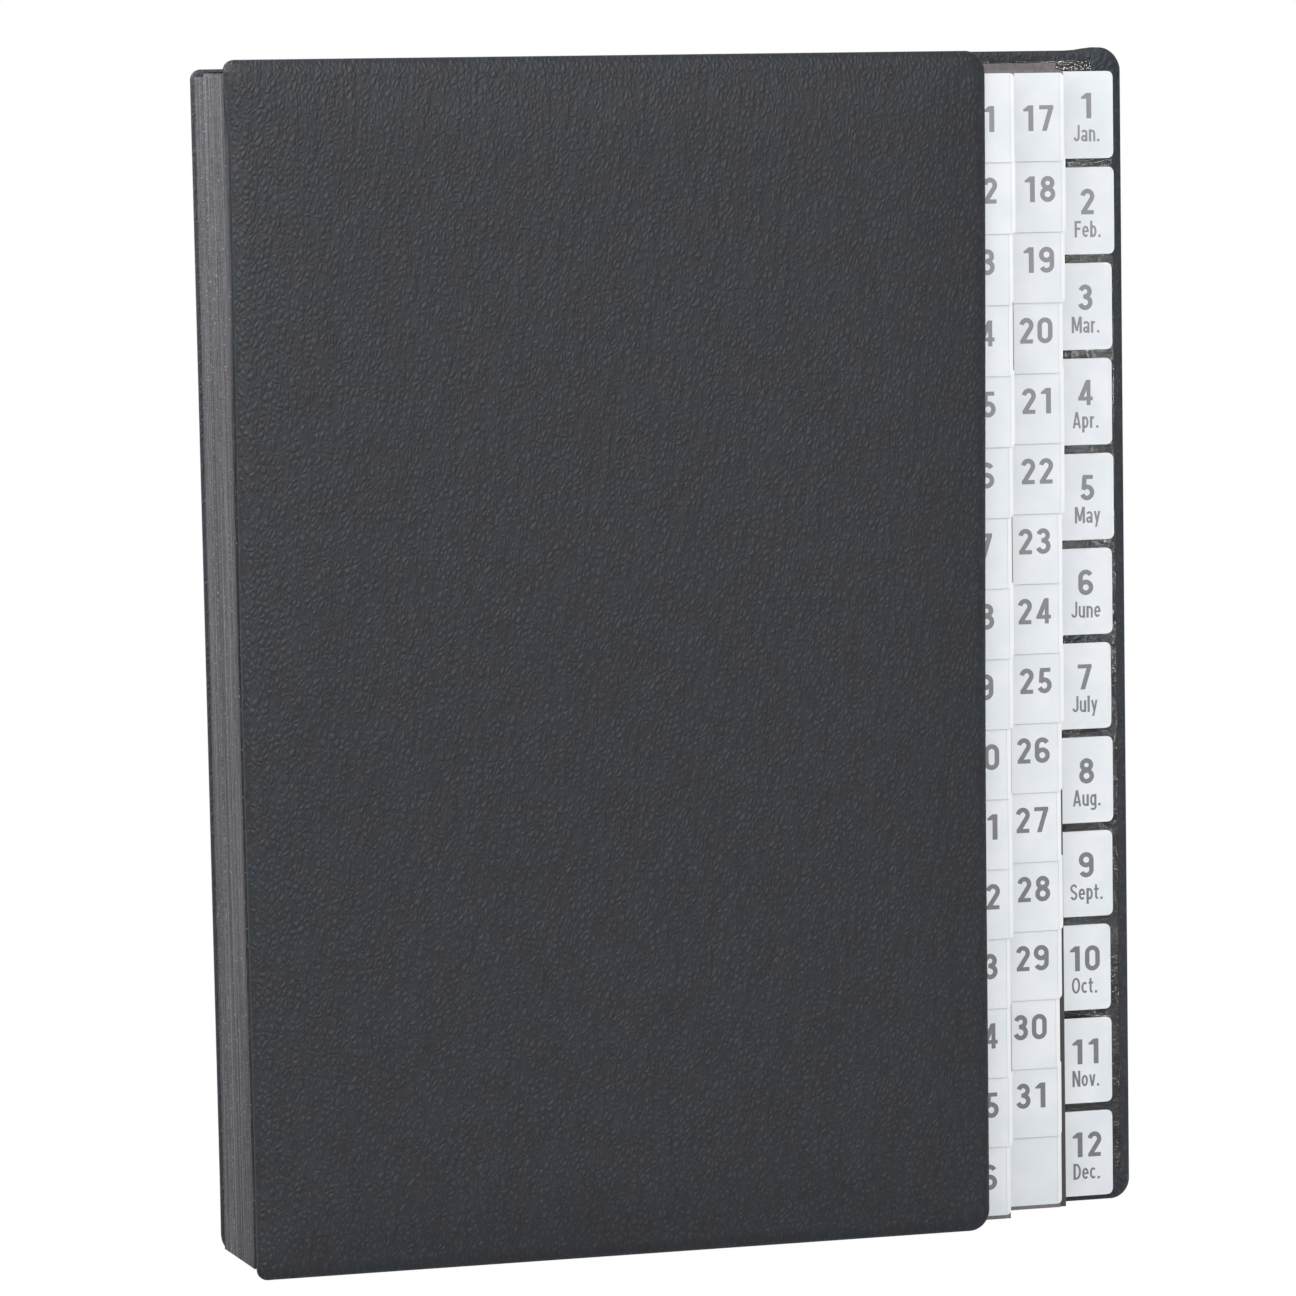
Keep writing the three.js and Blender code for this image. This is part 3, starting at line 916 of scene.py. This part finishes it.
# The pleated strip as it stands in use: its pleats lean a little outwards towards the top,
# and level cuts let their walls follow
def leaning_spine():
    low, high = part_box("spine")
    mesh = NODES["spine"].data.copy()
    mesh.transform(NODES["spine"].matrix_world)
    work = bmesh.new()
    work.from_mesh(mesh)
    for z in SPINE_CUTS:
        geometry = list(work.verts) + list(work.edges) + list(work.faces)
        bmesh.ops.bisect_plane(work, geom=geometry, plane_co=(0, 0, z), plane_no=(0, 0, 1))
    for vert in work.verts:
        near_face = 1 - smoothstep(5 * MM, 20 * MM, vert.co.x - low.x)
        vert.co.x -= spine_lean(vert.co.z) * near_face
    work.to_mesh(mesh)
    work.free()
    strip = new_object("spine_skin", mesh)
    dress(strip, linen)
    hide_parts("spine")
    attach(strip, "block")


leaning_spine()
padded_cover("front_cover_skin", "front_cover", "front", -1)
padded_cover("back_cover_skin", "back_cover", "back", 1)
hinge_strip("front_hinge_linen", "front_lining", -1)
hinge_strip("back_hinge_linen", "back_lining", 1)
dress(NODES["front_lining"], lining)
dress(NODES["back_lining"], lining)
for node_name, leaf_node in NODES.items():
    if node_name.startswith("divider_"):
        dress(leaf_node, sliver_shade_card if node_name == "divider_month_01" else card)
for day in range(DAY_LEAVES):
    day_tab(day)
for month_index in range(len(MONTH_NAMES)):
    month_tab(month_index)


# 1 for what the camera sees, also in a mirror or through glass, and 0 for other light
def seen_directly(tree):
    path = tree.nodes.new("ShaderNodeLightPath")
    total = path.outputs["Is Camera Ray"]
    for name in ("Is Glossy Ray", "Is Transmission Ray"):
        either = tree.nodes.new("ShaderNodeMath")
        either.operation = "MAXIMUM"
        tree.links.new(total, either.inputs[0])
        tree.links.new(path.outputs[name], either.inputs[1])
        total = either.outputs["Value"]
    return total


# Paper of the floor: nearly white to the camera by its own glow, which leaves the sorter's
# soft shadow in, and mid grey to all other light
def stage_material():
    material = bpy.data.materials.new("studio_paper")
    material.use_nodes = True
    tree = material.node_tree
    tree.nodes.clear()
    output = tree.nodes.new("ShaderNodeOutputMaterial")
    diffuse = tree.nodes.new("ShaderNodeBsdfDiffuse")
    diffuse.inputs["Color"].default_value = (0.5, 0.5, 0.5, 1)
    glow = tree.nodes.new("ShaderNodeEmission")
    glow.inputs["Strength"].default_value = FLOOR_GLOW
    share = tree.nodes.new("ShaderNodeMath")
    share.operation = "MULTIPLY"
    share.inputs[1].default_value = GLOW_SHARE
    blend = tree.nodes.new("ShaderNodeMixShader")
    tree.links.new(seen_directly(tree), share.inputs[0])
    tree.links.new(share.outputs["Value"], blend.inputs["Fac"])
    tree.links.new(diffuse.outputs["BSDF"], blend.inputs[1])
    tree.links.new(glow.outputs["Emission"], blend.inputs[2])
    tree.links.new(blend.outputs["Shader"], output.inputs["Surface"])
    return material


def studio_floor():
    mesh = bpy.data.meshes.new("studio_floor")
    corners = [(x * FLOOR_REACH, y * FLOOR_REACH, 0) for x, y in ((-1, -1), (1, -1), (1, 1), (-1, 1))]
    mesh.from_pydata(corners, [], [(0, 1, 2, 3)])
    floor = new_object("studio_floor", mesh)
    floor.location.z = -FLOOR_DROP
    dress(floor, stage_material())


def area_light(name, place, target, size, power, tint=(1, 1, 1)):
    data = bpy.data.lights.new(name, "AREA")
    data.shape = "SQUARE"
    data.size = size
    data.energy = power
    data.color = tint
    lamp = bpy.data.objects.new(name, data)
    bpy.context.scene.collection.objects.link(lamp)
    lamp.location = place
    lamp.rotation_euler = (Vector(target) - Vector(place)).to_track_quat("-Z", "Y").to_euler()
    return lamp


# A broad lamp in front, a small one for the spine's corner, one that adds only gloss, for the
# covers' grain, and a narrow one that adds only gloss, and that on the back lining alone
def studio_lights():
    aim = (0, 0, 0.19)
    area_light("key_light", (0.3, -1.8, 0.75), aim, size=1.2, power=13.5, tint=(1, 0.99, 0.98))
    area_light("corner_light", (-0.45, 0.0, 0.62), (-0.14, 0, 0.3), size=0.2, power=4.5)
    sheen = area_light("sheen_light", (-0.6, -1.3, 0.95), aim, size=1.1, power=28)
    glint = area_light("glint_light", (0.81, -1.74, 0.29), (0.12, 0, 0.3), size=0.1, power=26)
    lined = bpy.data.collections.new("glint_receivers")
    lined.objects.link(NODES["back_lining"])
    glint.light_linking.receiver_collection = lined
    for lamp in (sheen, glint):
        lamp.visible_diffuse = False


# Soft light from all round, and plain white wherever the camera sees it
def studio_world():
    world = bpy.data.worlds.new("studio")
    bpy.context.scene.world = world
    world.use_nodes = True
    tree = world.node_tree
    tree.nodes.clear()
    output = tree.nodes.new("ShaderNodeOutputWorld")
    soft = tree.nodes.new("ShaderNodeBackground")
    soft.inputs["Color"].default_value = (0.97, 0.985, 1, 1)
    soft.inputs["Strength"].default_value = SOFT_LIGHT
    plain = tree.nodes.new("ShaderNodeBackground")
    plain.inputs["Color"].default_value = (1, 1, 1, 1)
    plain.inputs["Strength"].default_value = 1.0
    blend = tree.nodes.new("ShaderNodeMixShader")
    tree.links.new(seen_directly(tree), blend.inputs["Fac"])
    tree.links.new(soft.outputs["Background"], blend.inputs[1])
    tree.links.new(plain.outputs["Background"], blend.inputs[2])
    tree.links.new(blend.outputs["Shader"], output.inputs["Surface"])


def studio_camera():
    yaw, pitch, roll = (math.radians(a) for a in (CAMERA_YAW, CAMERA_PITCH, CAMERA_ROLL))
    across = math.cos(pitch)
    ahead = Vector((math.sin(yaw) * across, math.cos(yaw) * across, -math.sin(pitch)))
    level = Vector((math.cos(yaw), -math.sin(yaw), 0))
    upward = level.cross(ahead)
    right = level * math.cos(roll) + upward * math.sin(roll)
    up = upward * math.cos(roll) - level * math.sin(roll)
    data = bpy.data.cameras.new("photo_camera")
    data.sensor_width = SENSOR_WIDTH
    data.lens = FOCAL_PIXELS / PHOTO_WIDTH * SENSOR_WIDTH
    camera = bpy.data.objects.new("photo_camera", data)
    bpy.context.scene.collection.objects.link(camera)
    turn = Matrix((right, up, -ahead)).transposed()
    camera.matrix_world = Matrix.Translation(CAMERA_PLACE) @ turn.to_4x4()
    bpy.context.scene.camera = camera


studio_floor()
studio_lights()
studio_world()
studio_camera()
bpy.context.scene.view_settings.view_transform = "Standard"
